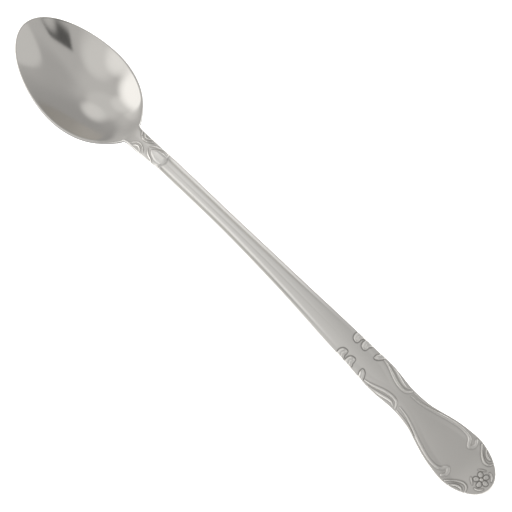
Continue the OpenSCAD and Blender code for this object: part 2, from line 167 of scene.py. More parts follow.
# Mesh. The bowl and the end cap are webs of rings round a centre, and rows across the strip join them.
CAP_X = END_X - 6.2
CAP_CENTRE_SHARE = 0.4
BOWL_RINGS, CAP_RINGS, RING_CROWDING = 44, 46, 1.5
BOWL_EDGE_STEPS, CAP_EDGE_STEPS, BOWL_EDGE_EASE = 130, 74, 0.6
STEPS_ACROSS, EDGE_CROWDING = 120, 0.45
# Steps between the rows on each length. The neck's and the stem's go on for an overrun past their length.
NECK_STEP, STEM_STEP, HANDLE_STEP, STEP_OVERRUN = 0.1, 0.8, 0.12, 1.0
MERGE_DISTANCE = 0.004
# How far each ring round the edge has turned from the face to the vertical side wall, in radians
ROUND_STEPS = 7
EDGE_TURNS = [math.pi / 2 * i / ROUND_STEPS for i in range(1, ROUND_STEPS + 1)]
# Samples of the outline round the tip, along the body and round the end, and of each piece of a stroke's path
TIP_SAMPLES, BODY_SAMPLES, END_SAMPLES, PATH_SAMPLES = 400, 4000, 500, 10
# A bell curve is followed for this many times its own width
BELL_REACH = 4
# Values that keep a division from zero
TINY, LEAST_HALF = 1e-6, 0.01


def mix(a, b, t):
    """The value a share t of the way from a to b."""
    return a + (b - a) * t


def smooth(low, high, v):
    """0 below low, 1 above high, and a smooth step between them."""
    t = np.clip((v - low) / (high - low), 0, 1)
    return t * t * (3 - 2 * t)


def stretch(x, rise, fall):
    """1 between two fades and 0 outside them."""
    return smooth(*rise, x) * (1 - smooth(*fall, x))


def soft_max(a, b, size):
    """The larger of two values, with a soft corner."""
    size = np.maximum(size, TINY)
    t = np.clip(0.5 + 0.5 * (a - b) / size, 0, 1)
    return mix(b, a, t) + size * t * (1 - t)


def hermite(knots, x):
    """A curve through knots of (place, value) that never overshoots them."""
    px, pv = np.array(knots, float).T
    rise = np.diff(pv) / np.diff(px)
    turn = np.zeros(len(px))
    same = rise[:-1] * rise[1:] > 0
    turn[1:-1][same] = (2 * rise[:-1] * rise[1:])[same] / (rise[:-1] + rise[1:])[same]
    i = np.clip(np.searchsorted(px, x) - 1, 0, len(px) - 2)
    w = px[i + 1] - px[i]
    t = np.clip((x - px[i]) / w, 0, 1)
    return (pv[i] * (1 + 2 * t) * (1 - t) ** 2 + turn[i] * w * t * (1 - t) ** 2
            + pv[i + 1] * t * t * (3 - 2 * t) + turn[i + 1] * w * t * t * (t - 1))


def blurred(values, sigma, mirror="odd"):
    """Values on an even grid, blurred so that a mirror finish shows no joints in their curvature.

    Past each end they go on as their mirror image: odd where a curve keeps its slope, even where it has none.
    """
    reach = int(BELL_REACH * sigma)
    bell = np.exp(-0.5 * (np.arange(-reach, reach + 1) / sigma) ** 2)
    padded = np.pad(values, reach, mode="reflect", reflect_type=mirror)
    return np.convolve(padded, bell / bell.sum(), "valid")


def smooth_curve(knots, softness):
    """A function of place through the knots, with its joints softened over a length."""
    x = np.arange(knots[0][0], knots[-1][0] + CURVE_STEP, CURVE_STEP)
    y = blurred(hermite(knots, x), softness / CURVE_STEP)
    return lambda at: np.interp(at, x, y)


def round_half(width, t, roundness):
    """Half the width of a rounded end, where t runs from 0 at its root to 1 at its very end."""
    return width / 2 * np.maximum(0, 1 - t ** roundness) ** 0.5


def egg_reach():
    """The egg that the rim follows: its reach from the bowl's middle at even angles, from neck to tip."""
    t = np.sin(np.linspace(0, math.pi / 2, EGG_SAMPLES))
    tip_x = MIDDLE_X - t * (MIDDLE_X - TIP_X)
    tip_y = round_half(BOWL_WIDTH, t, TIP_ROUNDNESS)
    heel_x = MIDDLE_X + t * (HEEL_X - MIDDLE_X)
    heel_y = round_half(BOWL_WIDTH, t, HEEL_ROUNDNESS)
    x = np.concatenate([heel_x[::-1], tip_x[1:]]) - MIDDLE_X
    y = np.concatenate([heel_y[::-1], tip_y[1:]])
    angle = np.arctan2(y, x)
    order = np.argsort(angle)
    even = np.linspace(0, math.pi, round(180 / EGG_STEP) + 1)
    reach = np.interp(even, angle[order], np.hypot(x, y)[order])
    return even, blurred(reach, EGG_SOFTNESS / EGG_STEP, "even")


EGG_ANGLES, EGG_REACHES = egg_reach()


def reach_at(x, y):
    """How far the egg reaches from the bowl's middle in the direction of a point."""
    return np.interp(np.arctan2(np.abs(y), x - MIDDLE_X), EGG_ANGLES, EGG_REACHES)


def land_at(x):
    """Width of the flat rim at a place."""
    return mix(TIP_LAND, HEEL_LAND, np.clip((x - TIP_X) / BOWL_LENGTH, 0, 1))


width_curve = smooth_curve([
    (CUT_X - WIDTH_LEAD, NECK_WIDTH / 2),
    (HEEL_X, NECK_WIDTH / 2),
    (STEM_X, STEM_WIDTH / 2),
    (STEM_X + STEM_LENGTH * 0.3, STEM_WIDTH / 2),
    (STEM_X + STEM_LENGTH * 0.65, mix(STEM_WIDTH, HANDLE_ROOT_WIDTH, 0.35) / 2),
    (HANDLE_X, HANDLE_ROOT_WIDTH / 2),
    (mix(HANDLE_X, SHOULDER_X, 0.62), mix(HANDLE_ROOT_WIDTH, SHOULDER_WIDTH, 0.55) / 2),
    (SHOULDER_X, SHOULDER_WIDTH / 2),
    (WAIST_X, WAIST_WIDTH / 2),
    (mix(WAIST_X, FLARE_X, 0.54), mix(WAIST_WIDTH, BLADE_WIDTH, 0.11) / 2),
    (FLARE_X, mix(WAIST_WIDTH, BLADE_WIDTH, 0.42) / 2),
    (mix(FLARE_X, BLADE_X, 0.28), mix(WAIST_WIDTH, BLADE_WIDTH, 0.68) / 2),
    (mix(FLARE_X, BLADE_X, 0.56), mix(WAIST_WIDTH, BLADE_WIDTH, 0.86) / 2),
    (BLADE_X, BLADE_WIDTH / 2),
    (END_X, BLADE_WIDTH / 2)], WIDTH_SOFTNESS)

height_curve = smooth_curve([
    (MIDDLE_X - HEIGHT_LEAD, RIM_HEIGHT),
    (MIDDLE_X, RIM_HEIGHT),
    (HEEL_X, mix(RIM_HEIGHT, ARCH_HEIGHT, 0.1)),
    (STEM_X, mix(RIM_HEIGHT, ARCH_HEIGHT, 0.66)),
    (STEM_X + STEM_LENGTH * 0.42, ARCH_HEIGHT),
    (HANDLE_X, ARCH_HEIGHT * 0.81),
    (SHOULDER_X, ARCH_HEIGHT * 0.63),
    (WAIST_X, ARCH_HEIGHT * 0.535),
    (FLARE_X, ARCH_HEIGHT * 0.36),
    (BLADE_X, mix(BLADE_THICKNESS, ARCH_HEIGHT, 0.06)),
    (END_X - REST_LENGTH, BLADE_THICKNESS),
    (END_X, BLADE_THICKNESS)], HEIGHT_SOFTNESS)

thickness_curve = smooth_curve([
    (HEEL_X - THICKNESS_LEAD, NECK_THICKNESS),
    (HEEL_X, NECK_THICKNESS),
    (STEM_X, STEM_THICKNESS),
    (mix(STEM_X, HANDLE_X, 0.6), STEM_THICKNESS),
    (WAIST_X, mix(STEM_THICKNESS, BLADE_THICKNESS, 0.8)),
    (BLADE_X, BLADE_THICKNESS),
    (END_X, BLADE_THICKNESS)], THICKNESS_SOFTNESS)


def egg_half(x):
    """Half the egg's width at a place."""
    ex = MIDDLE_X + EGG_REACHES * np.cos(EGG_ANGLES)
    ey = EGG_REACHES * np.sin(EGG_ANGLES)
    return np.interp(x, ex[::-1], ey[::-1], left=0, right=0)


def half_width(x):
    """Half the spoon's width at a place."""
    x = np.asarray(x, float)
    egg = egg_half(x)
    strip = width_curve(x)
    fillet = HEEL_FILLET * smooth(MIDDLE_X, HEEL_X, x) * (1 - smooth(*FILLET_FALL, x) * FILLET_LOSS)
    heel = np.where(x > MIDDLE_X, soft_max(egg, strip, fillet), egg)
    end = round_half(BLADE_WIDTH, np.clip((x - BLADE_X) / (END_X - BLADE_X), 0, 1), END_ROUNDNESS)
    blend = smooth(BLADE_X - END_BLEND, BLADE_X + END_BLEND, x)
    return np.where(x < CUT_X, heel, mix(strip, end, blend))


def face_height(x):
    """Height of the face on the centre line, without the bowl's hollow."""
    rise = TIP_RISE * (np.clip(MIDDLE_X - x, 0, None) / (MIDDLE_X - TIP_X)) ** 2
    return height_curve(x) + rise


def neck_zone(x, y):
    """1 in the direction of the neck, seen from the bowl's middle, and 0 elsewhere."""
    return smooth(*NECK_FAN, np.degrees(np.arctan2(np.abs(y), x - MIDDLE_X)))


def fullness(r):
    """How far the bowl's floor has risen at a share of its reach."""
    return SQUARE_SHARE * r ** 2 + (1 - SQUARE_SHARE) * r ** 4


def hollow_depth(x, y):
    """Depth of the bowl's hollow below its rim."""
    share = np.hypot(x - MIDDLE_X, y) / (reach_at(x, y) - land_at(x))
    softness = mix(RIM_SOFTNESS, LIP_SOFTNESS, neck_zone(x, y))
    return soft_max(BOWL_DEPTH * (1 - fullness(share)), 0, softness)


def field_depth(x, side):
    """Depth of the handle's smooth field below its raised borders."""
    share = hermite(FIELD_SHARES, (x - HANDLE_X) / HANDLE_LENGTH)
    half = share * np.maximum(half_width(x), LEAST_HALF)
    sunk = FIELD_DEPTH * (1 - smooth(half - FIELD_SLOPE, half + FIELD_LIP, side))
    filled = WAIST_FILL * np.exp(-((x - WAIST_X) / WAIST_REACH) ** 2)
    return sunk * stretch(x, FIELD_RISE, FIELD_FALL) * (1 - filled)


def flute_depth(x, side, half):
    """How far the stem's face is cut away by its flutes, and by the fall of its rib and edge beads."""
    flute_at = half - EDGE_BEAD
    flute = FLUTE_DEPTH * np.exp(-((side - flute_at) / FLUTE_HALF) ** 2)
    rib = RIB_FALL * np.minimum(side / np.maximum(flute_at, LEAST_HALF), 1) ** 2
    bead = BEAD_FALL * smooth(half - EDGE_BEAD * 0.5, half, side)
    groove = RIB_GROOVE_DEPTH * np.exp(-(side / RIB_GROOVE_HALF) ** 2)
    return (flute + rib + bead + groove) * stretch(x, FLUTE_RISE, FLUTE_FALL)


def crown_depth(x, share):
    """How far the crowned face of the neck and the handle falls, at a share of the half width."""
    neck = NECK_CROWN * stretch(x, NECK_CROWN_RISE, NECK_CROWN_FALL)
    handle = mix(HANDLE_CROWN, BLADE_CROWN, smooth(WAIST_X, BLADE_X, x)) * smooth(*FLUTE_FALL, x)
    return (neck + handle) * np.minimum(share, 1) ** 2


def face(x, y):
    """Height of the plain face, before the ornament."""
    half = np.maximum(half_width(x), LEAST_HALF)
    side = np.abs(y)
    plain = face_height(x) - field_depth(x, side) - flute_depth(x, side, half) - crown_depth(x, side / half)
    return plain - np.where(x < STEM_X, hollow_depth(x, y), 0)


def under(x, y):
    """Height of the underside."""
    side_share = np.abs(y) / np.maximum(half_width(x), LEAST_HALF)
    rounding = np.clip(side_share - UNDER_FLAT_SHARE, 0, None) / (1 - UNDER_FLAT_SHARE)
    zone = np.where(x > STEM_X, 1, neck_zone(x, y))
    plate = mix(RIM_THICKNESS, thickness_curve(x) - UNDER_ROUND * rounding ** 2, zone)
    reach_share = np.hypot(x - MIDDLE_X, y) / reach_at(x, y)
    shell = mix(RIM_THICKNESS, RIM_HEIGHT, 1 - fullness(reach_share))
    body = np.where(x > STEM_X, plate, soft_max(shell, plate, LIP_SOFTNESS * zone))
    return face_height(x) - body


# Ornament. Each place is a share of a zone's length and of the half width there. Both sides are alike.
NECK_ZONE = (HEEL_X, NECK_LENGTH)
HANDLE_ZONE = (HANDLE_X, HANDLE_LENGTH)
# How a stroke swells along its path, as shares of its width
STRAND_SHARES = (0.35, 0.8, 1, 0.8, 0.35)
ARCH_SHARES = (0.5, 0.85, 1, 0.85, 0.5)
EVEN_SHARES = (1, 1, 1)
BAR_SHARES = (1, 1, 0.8)
CROOK_SHARES = (0.35, 0.8, 0.85, 0.8, 1, 1.1, 0.8)
CURL_SHARES = (0.9, 1, 0.95, 0.6)
STROKES = (
    # zone, path shares, width, height, swelling shares, how dark the painted shade in its groove is, depth of
    # its vein
    # Three arcs of the neck, from the bowl to the stem, and the bar across the top of the flutes
    (NECK_ZONE, ((0.205, 0.85), (0.26, 0.62), (0.32, 0.54), (0.38, 0.64), (0.43, 0.85)),
     0.42, 0.3, ARCH_SHARES, 0.25, 0),
    (NECK_ZONE, ((0.135, 0.82), (0.18, 0.55), (0.245, 0.33), (0.31, 0.26), (0.38, 0.3), (0.445, 0.48),
                 (0.505, 0.8)),
     0.45, 0.36, ARCH_SHARES, 0.3, 0),
    (NECK_ZONE, ((0.525, 0.12), (0.585, 0.42), (0.65, 0.6), (0.715, 0.71), (0.785, 0.85)),
     0.5, 0.36, ARCH_SHARES, 0.3, 0),
    (NECK_ZONE, ((0.965, 0), (0.965, 0.4), (0.965, 0.8)), 0.55, 0.2, BAR_SHARES, 0.3, 0),
    # Three leaf curls at the handle's edge, slanted, each with a vein
    (HANDLE_ZONE, ((0.092, 0.95), (0.083, 0.74), (0.092, 0.53)), 2.3, 0.45, CURL_SHARES, 1, 0.2),
    (HANDLE_ZONE, ((0.145, 0.95), (0.135, 0.74), (0.143, 0.53)), 2.3, 0.45, CURL_SHARES, 1, 0.2),
    (HANDLE_ZONE, ((0.229, 0.95), (0.22, 0.76), (0.211, 0.57)), 1.7, 0.45, CURL_SHARES, 1, 0.18),
    # Two strands from the shoulder to the waist
    (HANDLE_ZONE, ((0.245, 0.84), (0.275, 0.76), (0.305, 0.65), (0.342, 0.5), (0.38, 0.41), (0.41, 0.44),
                   (0.427, 0.6), (0.436, 0.84)),
     1.0, 0.38, STRAND_SHARES, 0.42, 0),
    (HANDLE_ZONE, ((0.27, 0.94), (0.305, 0.88), (0.343, 0.8), (0.38, 0.71), (0.403, 0.7), (0.418, 0.82)),
     0.84, 0.32, STRAND_SHARES, 0.4, 0),
    # The border of the blade, which ends in a crook, and the strand outside it
    (HANDLE_ZONE, ((0.45, 0.56), (0.49, 0.6), (0.53, 0.71), (0.57, 0.78), (0.606, 0.82), (0.644, 0.84),
                   (0.682, 0.86), (0.715, 0.86), (0.75, 0.82), (0.771, 0.74), (0.784, 0.6), (0.794, 0.53),
                   (0.805, 0.6), (0.809, 0.73), (0.798, 0.87)),
     1.05, 0.31, CROOK_SHARES, 0.33, 0),
    (HANDLE_ZONE, ((0.447, 0.86), (0.49, 0.88), (0.53, 0.92), (0.57, 0.95), (0.6, 0.97)),
     0.84, 0.28, STRAND_SHARES, 0.22, 0),
    # Two crescents beside the flower
    (HANDLE_ZONE, ((0.825, 0.92), (0.859, 0.71), (0.891, 0.61), (0.915, 0.69), (0.926, 0.9)),
     0.85, 0.4, ARCH_SHARES, 0.6, 0),
    (HANDLE_ZONE, ((0.852, 0.95), (0.876, 0.83), (0.898, 0.83), (0.911, 0.92)),
     0.8, 0.36, STRAND_SHARES, 0.7, 0),
)
# The pointed oval on the neck's centre line
PANEL_SHARES = (0.59, 0.67, 0.76, 0.85, 0.93)
PANEL_WIDTH_SHARES = (0.04, 0.5, 0.85, 1, 0.9)
# Its width, height, and how dark the painted shade in its groove is
PANEL_WIDTH, PANEL_HEIGHT, PANEL_SHADE = NECK_WIDTH * 0.56, 0.3, 0.4
# The flower: petals round a button, each with a dimple, and slim leaves behind them at (x, y) from its middle
FLOWER_AT_SHARE = 0.942
BUTTON_LENGTH, BUTTON_WIDTH, BUTTON_HEIGHT = 0.2, 1.1, 0.4
PETALS = 5
PETAL_REACHES, PETAL_WIDTH, PETAL_HEIGHT = (1.25, 1.45, 1.65), 1.45, 0.3
PETAL_WIDTH_SHARES = (0.9, 1, 0.95)
# Each dimple's reach from the flower's middle, half width, depth, and how dark its painted shade is
DIMPLE_REACH, DIMPLE_HALF, DIMPLE_DEPTH, DIMPLE_SHADE = 1.5, 0.42, 0.12, 0.5
LEAVES = (
    ((0.3, 3.1), (1.3, 2.7), (2.3, 1.6)),
    ((-2.6, 1.5), (-1.8, 2.1), (-0.9, 2.7)),
)
# The slim leaves' width, height, and how dark the painted shade in their grooves is
LEAF_WIDTH, LEAF_HEIGHT, LEAF_SHADE = 0.6, 0.28, 0.6
# A stroke is lower where it is narrower: a share of its height, and what each share of its width adds
LEAST_HEIGHT_SHARE, HEIGHT_GAIN = 0.3, 0.8
# The power that rounds a bead's section, where 0.5 is half an ellipse and 1 a parabola
BEAD_POWER = 0.8
VEIN_HALF = 0.22
# The fine groove beside each bead, which also carries painted shade, and the height over which both are lost
# where beads cross
GROOVE_AWAY, GROOVE_HALF, GROOVE_DEPTH, GROOVE_LOSS = 0.05, 0.2, 0.07, 0.12
# A bead's crest gets a painted highlight and less roughness from a height, fully a range above it, but only
# by a share on the handle
CREST_HEIGHT, CREST_RANGE, HANDLE_CREST_SHARE = 0.05, 0.35, 0.35


def smooth_path(points):
    """A rounded path through points, in small even steps of its parameter."""
    p = np.array(points, float)
    padded = np.vstack([p[0], p, p[-1]])
    t = np.arange(PATH_SAMPLES)[:, None] / PATH_SAMPLES
    pieces = []
    for i in range(len(p) - 1):
        a, b, c, d = padded[i:i + 4]
        pieces.append(b + t * (c - a) / 2 + t ** 2 * (a - 2.5 * b + 2 * c - d / 2)
                      + t ** 3 * (1.5 * (b - c) + (d - a) / 2))
    return np.vstack(pieces + [p[-1:]])


def stroke(points, width, height, swell, shade, vein=0):
    """Samples (x, y, half width, height) along a bead of relief, how dark the painted shade in its groove is,
    and its vein's depth.
    """
    path = smooth_path(points)
    along = np.linspace(0, 1, len(path))
    share = hermite(list(zip(np.linspace(0, 1, len(swell)), swell)), along)
    heights = height * np.minimum(1, LEAST_HEIGHT_SHARE + share * HEIGHT_GAIN)
    return np.column_stack([path, share * width / 2, heights]), shade, vein


def petal_ways():
    """The direction of each petal from the flower's middle."""
    turns = [2 * math.pi * i / PETALS for i in range(PETALS)]
    return [np.array([math.cos(a), math.sin(a)]) for a in turns]


def flower_middle():
    """The middle of the flower's button."""
    return np.array([HANDLE_X + HANDLE_LENGTH * FLOWER_AT_SHARE, 0])


def scrolls():
    """The beads along the edges of the neck and the handle."""
    beads = []
    for (start, length), shares, *form in STROKES:
        x = start + length * np.array([s[0] for s in shares])
        y = np.array([s[1] for s in shares]) * half_width(x)
        beads += [stroke(np.column_stack([x, side * y]), *form) for side in (-1, 1)]
    return beads


def panel():
    """The pointed oval of the neck."""
    x = HEEL_X + NECK_LENGTH * np.array(PANEL_SHARES)
    return stroke(np.column_stack([x, 0 * x]), PANEL_WIDTH, PANEL_HEIGHT, PANEL_WIDTH_SHARES, PANEL_SHADE)


def flower():
    """The button, petals and slim leaves at the handle's end."""
    middle = flower_middle()
    button_end = np.array([BUTTON_LENGTH / 2, 0])
    button = [middle - button_end, middle, middle + button_end]
    beads = [stroke(button, BUTTON_WIDTH, BUTTON_HEIGHT, EVEN_SHARES, 1)]
    for way in petal_ways():
        petal = [middle + way * reach for reach in PETAL_REACHES]
        beads.append(stroke(petal, PETAL_WIDTH, PETAL_HEIGHT, PETAL_WIDTH_SHARES, 1))
    for leaf in LEAVES:
        for side in (-1, 1):
            points = [middle + (x, side * y) for x, y in leaf]
            beads.append(stroke(points, LEAF_WIDTH, LEAF_HEIGHT, ARCH_SHARES, LEAF_SHADE))
    return beads


def relief(x, y):
    """The ornament's height, how deep each place lies in the groove beside a bead, which sets its painted
    shade, and how high on a bead, which sets its painted highlight.
    """
    high = np.zeros_like(x)
    deep = np.zeros_like(x)
    for beads, shade, vein in [*scrolls(), panel(), *flower()]:
        reach = beads[:, 2].max() + 3 * GROOVE_HALF
        low, top = beads[:, :2].min(0) - reach, beads[:, :2].max(0) + reach
        near = np.flatnonzero((x > low[0]) & (x < top[0]) & (y > low[1]) & (y < top[1]))
        gap = np.hypot(x[near, None] - beads[None, :, 0], y[near, None] - beads[None, :, 1])
        at = np.argmin(gap / beads[None, :, 2], axis=1)
        away, half, height = gap[np.arange(len(near)), at], beads[at, 2], beads[at, 3]
        bump = height * np.maximum(0, 1 - (away / half) ** 2) ** BEAD_POWER
        bump -= vein * np.exp(-(away / VEIN_HALF) ** 2)
        # Painted shade in the groove beside the bead
        groove = shade * np.exp(-((away - half - GROOVE_AWAY) / GROOVE_HALF) ** 2)
        high[near] = np.maximum(high[near], bump)
        deep[near] = np.maximum(deep[near], groove)
    middle = flower_middle()
    for way in petal_ways():
        cx, cy = middle + way * DIMPLE_REACH
        dimple = np.exp(-((x - cx) ** 2 + (y - cy) ** 2) / DIMPLE_HALF ** 2)
        high -= DIMPLE_DEPTH * dimple
        deep = np.maximum(deep, DIMPLE_SHADE * dimple)
    deep = deep * np.exp(-np.maximum(high, 0) / GROOVE_LOSS)
    # Painted highlight on the crests, weaker on the handle
    crest = np.clip((high - CREST_HEIGHT) / CREST_RANGE, 0, 1)
    crest = crest * mix(1, HANDLE_CREST_SHARE, smooth(STEM_X, HANDLE_X, x))
    return high - GROOVE_DEPTH * deep, deep, crest


def outline():
    """One side's outline from tip to end: points inset by the edge's rounding, and their outer partners."""
    angle = np.linspace(math.pi, math.pi / 2, TIP_SAMPLES)
    reach = np.interp(angle, EGG_ANGLES, EGG_REACHES)
    tip = np.column_stack([MIDDLE_X + reach * np.cos(angle), reach * np.sin(angle)])
    cap_x = BLADE_X + END_BLEND
    body_x = np.linspace(MIDDLE_X, cap_x, BODY_SAMPLES)[1:]
    turn = np.linspace(0, math.pi / 2, END_SAMPLES)[1:]
    end_x = cap_x + (END_X - cap_x) * np.sin(turn)
    x = np.concatenate([body_x, end_x])
    edge = np.vstack([tip, np.column_stack([x, half_width(x)])])
    edge[0, 1] = edge[-1, 1] = 0
    way = np.gradient(edge, axis=0)
    way /= np.linalg.norm(way, axis=1)[:, None]
    normal = np.column_stack([-way[:, 1], way[:, 0]])
    normal[0], normal[-1] = (-1, 0), (1, 0)
    inset = edge - normal * EDGE_ROUND
    keep = inset[:, 1] >= 0
    keep[0] = keep[-1] = True
    return inset[keep], edge[keep]


INSET, OUTER = outline()
INSET_BY_X = INSET[np.argsort(INSET[:, 0])]


def outer_partners(rim):
    """The points of the outline that lie outside points of its inset copy."""
    start, way = INSET[:-1], np.diff(INSET, axis=0)
    length2 = np.maximum((way ** 2).sum(1), TINY ** 2)
    partners = []
    for x, y in rim:
        to = np.array([x, abs(y)]) - start
        share = np.clip((to * way).sum(1) / length2, 0, 1)
        i = np.argmin(((to - share[:, None] * way) ** 2).sum(1))
        px, py = mix(OUTER[i], OUTER[i + 1], share[i])
        partners.append((px, math.copysign(py, y)))
    return np.array(partners)


def inset_half(x):
    """Half the width of the inset outline at a place."""
    return np.interp(x, INSET_BY_X[:, 0], INSET_BY_X[:, 1])


def edge_places(low, high, steps, ease=0):
    """Points along the inset outline between two places, evenly spaced, or with ease closer at both ends."""
    part = INSET[(INSET[:, 0] >= low) & (INSET[:, 0] <= high)]
    run = np.concatenate([[0], np.cumsum(np.linalg.norm(np.diff(part, axis=0), axis=1))])
    share = np.linspace(0, 1, steps + 1)
    share = mix(share, smooth(0, 1, share), ease)
    return np.column_stack([np.interp(share * run[-1], run, part[:, k]) for k in (0, 1)])


def across(x):
    """Points across the spoon at a place, from +y to -y, closer together towards the edges."""
    turn = np.linspace(math.pi / 2, -math.pi / 2, STEPS_ACROSS + 1)
    even = np.linspace(1, -1, STEPS_ACROSS + 1)
    y = mix(even, np.sin(turn), EDGE_CROWDING) * inset_half(x)
    return np.column_stack([np.full(len(y), x), y])


def strip_places():
    """Places of the rows across the strip, from the bowl to the end cap, closer together under ornament."""
    stem, handle = STEM_X + STEP_OVERRUN, HANDLE_X + STEP_OVERRUN
    spans = ((CUT_X, stem, NECK_STEP), (stem, handle, STEM_STEP), (handle, CAP_X, HANDLE_STEP))
    runs = [np.linspace(low, high, int((high - low) / step)) for low, high, step in spans]
    return np.concatenate([runs[0]] + [run[1:] for run in runs[1:]])


def ring_faces(inner, outer):
    """Faces between two closed rings with as many points each."""
    return list(zip(inner, outer, np.roll(outer, -1), np.roll(inner, -1)))


def plan():
    """The spoon's plan: its points and faces, face up. Its three parts meet in rows that coincide."""
    points, faces = [], []

    def add(rows):
        """Adds points to the plan and gives their numbers."""
        start = len(points)
        points.extend(map(tuple, rows))
        return np.arange(start, len(points))

    def web(centre, edge, shares):
        """Rings from a centre out to a closed edge, at shares of the way."""
        hub = add([centre])[0]
        rings = [add(centre + (edge - centre) * share) for share in shares]
        faces.extend((hub, a, b) for a, b in zip(rings[0], np.roll(rings[0], -1)))
        for inner, outer in zip(rings[:-1], rings[1:]):
            faces.extend(ring_faces(inner, outer))

    bowl_centre = np.array([MIDDLE_X, 0.0])
    bowl_side = edge_places(TIP_X, CUT_X, BOWL_EDGE_STEPS, BOWL_EDGE_EASE)
    bowl_side[-1] = (CUT_X, inset_half(CUT_X))
    bowl_mirror = (bowl_side * (1, -1))[::-1]
    bowl_edge = np.vstack([bowl_side[:-1], across(CUT_X), bowl_mirror[1:-1]])[::-1]
    bowl_shares = np.arange(1, BOWL_RINGS + 1) / BOWL_RINGS
    web(bowl_centre, bowl_edge, 1 - (1 - bowl_shares) ** RING_CROWDING)

    rows = [add(across(x)) for x in strip_places()]
    for a, b in zip(rows[:-1], rows[1:]):
        faces.extend(zip(a[:-1], a[1:], b[1:], b[:-1]))

    cap_centre = np.array([mix(CAP_X, END_X, CAP_CENTRE_SHARE), 0.0])
    cap_side = edge_places(CAP_X, END_X, CAP_EDGE_STEPS)
    cap_side[0] = (CAP_X, inset_half(CAP_X))
    cap_mirror = (cap_side * (1, -1))[::-1]
    cap_edge = np.vstack([across(CAP_X)[::-1], cap_side[1:], cap_mirror[1:-1]])[::-1]
    web(cap_centre, cap_edge, np.arange(1, CAP_RINGS + 1) / CAP_RINGS)
    return points, faces


def welded(points, faces):
    """The plan with its coinciding points merged: points, faces, and the loop of points round its edge."""
    flat = bmesh.new()
    verts = [flat.verts.new((x, y, 0)) for x, y in points]
    for face_points in faces:
        flat.faces.new([verts[i] for i in face_points])
    bmesh.ops.remove_doubles(flat, verts=flat.verts, dist=MERGE_DISTANCE)
    flat.verts.ensure_lookup_table()
    flat.verts.index_update()
    xy = np.array([v.co[:2] for v in flat.verts])
    polys = [[v.index for v in f.verts] for f in flat.faces]
    following = {}
    for edge in flat.edges:
        if edge.is_boundary:
            corner = edge.link_loops[0]
            following[corner.vert.index] = corner.link_loop_next.vert.index
    flat.free()
    loop = [next(iter(following))]
    while following[loop[-1]] != loop[0]:
        loop.append(following[loop[-1]])
    return xy, polys, np.array(loop)


def edge_rings(rim, top, bottom):
    """Rings of points round the edge, from the face's rim down to the underside's."""
    outward = outer_partners(rim) - rim
    thick = top - bottom
    fall = np.minimum(EDGE_FALL, thick * EDGE_FALL_SHARE)
    rise = thick * EDGE_RISE_SHARE
    rings = [(rim + outward * math.sin(a), top - fall * (1 - math.cos(a))) for a in EDGE_TURNS]
    rings += [(rim + outward * math.sin(a), bottom + rise * (1 - math.cos(a))) for a in reversed(EDGE_TURNS)]
    return [np.column_stack([places, heights]) for places, heights in rings]


# Finish and painted light. A band across the bowl's lip, whose middle lies a little back of the heel, is a
# little rougher and has painted shade.
HEEL_SHADE, HEEL_SHADE_BACK, HEEL_SHADE_REACH = 0.34, 1.0, 2.7
# Between these places the bowl's mirror polish turns into the satin of the stem and the handle
SATIN_RISE = (HEEL_X - 6, STEM_X)
# The stem's colour is painted brighter, a painted sheen. That starts nearer the bowl on the edge than on the
# face, and fades out slowly.
FACE_SHEEN_RISE, EDGE_SHEEN_RISE = (HEEL_X + 1, STEM_X + 6), (HEEL_X - 4, HEEL_X + 1)
SHEEN_FALL = (STEM_X + 22, END_X + 2)
# The edge keeps its plain colour until it has turned this far from the face. Below that, the side wall has
# painted shade.
BOWL_SHADE_TURN, HANDLE_SHADE_TURN, SHADE_TURN_FADE = 45.0, 75.0, 10.0
SHADE_TURN_RISE = (HEEL_X - 3, STEM_X)
# How dark that wall's painted shade is round the tip, round the rest of the bowl and along the stem
TIP_WALL_SHADE, BOWL_WALL_SHADE, STEM_WALL_SHADE = 0.3, 1.0, 0.55
BOWL_WALL_RISE, STEM_WALL_RISE = (TIP_X + 9, MIDDLE_X), (CUT_X, STEM_X + 10)


def finish_shares(coords, deep, crest, rim_x):
    """How the finish and its painted shade, sheen and highlights change over the mesh: named shares for its
    face, underside and edge rings in turn.
    """
    count = len(deep)
    x = coords[:, 0]
    face_x = x[:count]
    off_face = np.zeros(len(x) - count)
    # Painted shade in a band across the bowl's lip
    heel_shade = HEEL_SHADE * np.exp(-((face_x - HEEL_X + HEEL_SHADE_BACK) / HEEL_SHADE_REACH) ** 2)

    # Painted shade on the side wall below the edge's turn
    shade_turn = mix(BOWL_SHADE_TURN, HANDLE_SHADE_TURN, smooth(*SHADE_TURN_RISE, rim_x))
    wall_darkness = mix(TIP_WALL_SHADE, BOWL_WALL_SHADE, smooth(*BOWL_WALL_RISE, rim_x))
    wall_darkness = mix(wall_darkness, STEM_WALL_SHADE, smooth(*STEM_WALL_RISE, rim_x))
    # The rings below the side wall count as turned all the way
    turns = np.degrees(EDGE_TURNS + [math.pi / 2] * ROUND_STEPS)
    walls = [wall_darkness * smooth(shade_turn - SHADE_TURN_FADE, shade_turn + SHADE_TURN_FADE, turn) for turn in turns]

    # Painted sheen on the stem, on its face and underside, and on its edge
    painted_sheen = smooth(*FACE_SHEEN_RISE, x)
    painted_sheen[2 * count:] = smooth(*EDGE_SHEEN_RISE, x[2 * count:])
    return {
        "painted_shade": np.concatenate([np.maximum(deep, heel_shade), off_face]),
        "crest": np.concatenate([crest, off_face]),
        "wall": np.concatenate([np.zeros(2 * count), *walls]),
        "satin": smooth(*SATIN_RISE, x),
        "painted_sheen": painted_sheen * (1 - smooth(*SHEEN_FALL, x)),
    }


